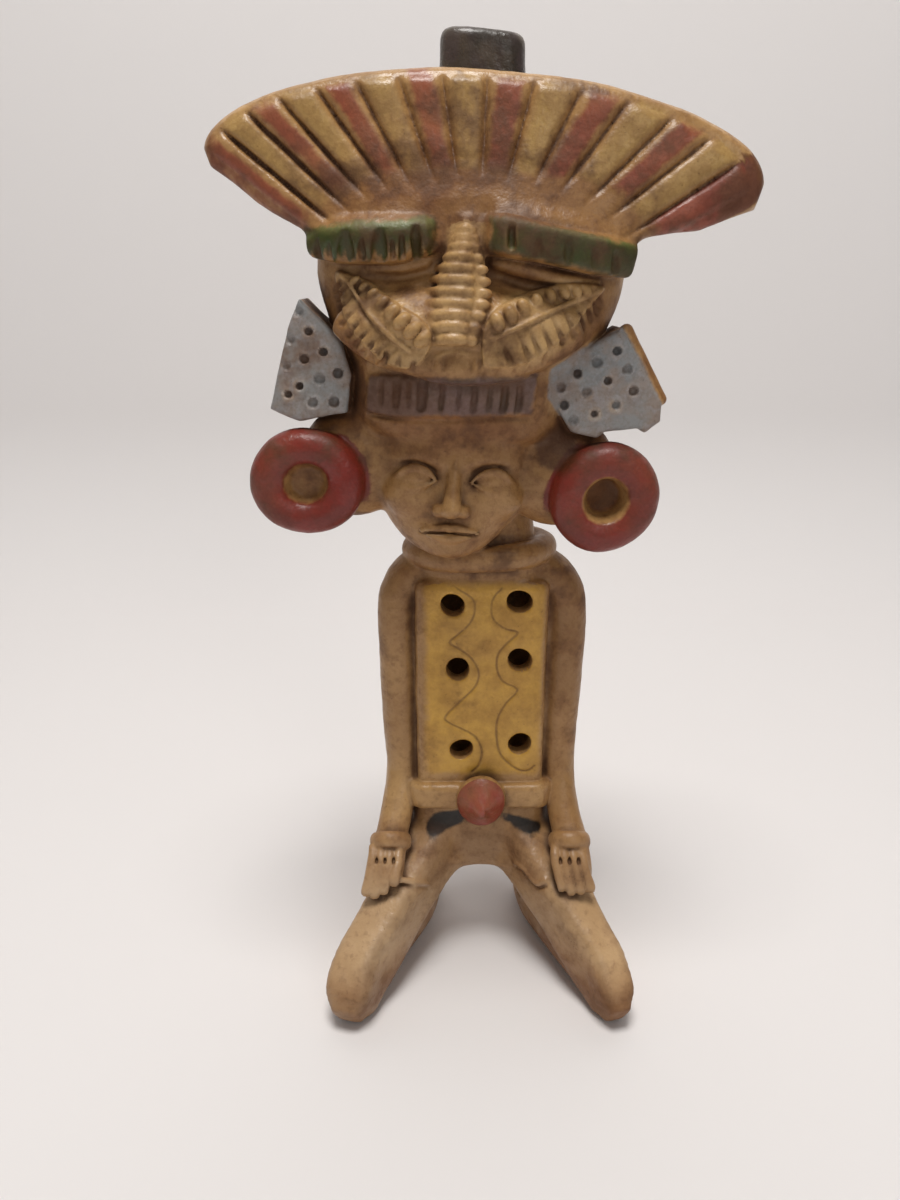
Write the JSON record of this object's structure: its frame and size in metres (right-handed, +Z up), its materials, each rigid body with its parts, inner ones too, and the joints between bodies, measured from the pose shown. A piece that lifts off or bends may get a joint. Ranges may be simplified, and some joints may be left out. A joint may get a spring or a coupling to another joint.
{
  "type": "ceramic figure flute",
  "caption": "Fired clay double flute shaped as a kneeling figure in an animal mask with a feather headdress, round ear spools, armbands and a belt disc, painted red, ochre, green and blue.",
  "frame": {"origin": "middle of the underside of the bounding box, on the surface that the knees and feet rest on", "axes": "+Z up, the figure faces -Y, its right arm is at -X"},
  "size_m": [0.1148, 0.0612, 0.2299],
  "materials": {
    "fired_clay": "satin"
  },
  "bodies": {
    "root": {"figure_flute": "fired_clay"}
  },
  "joints": []
}
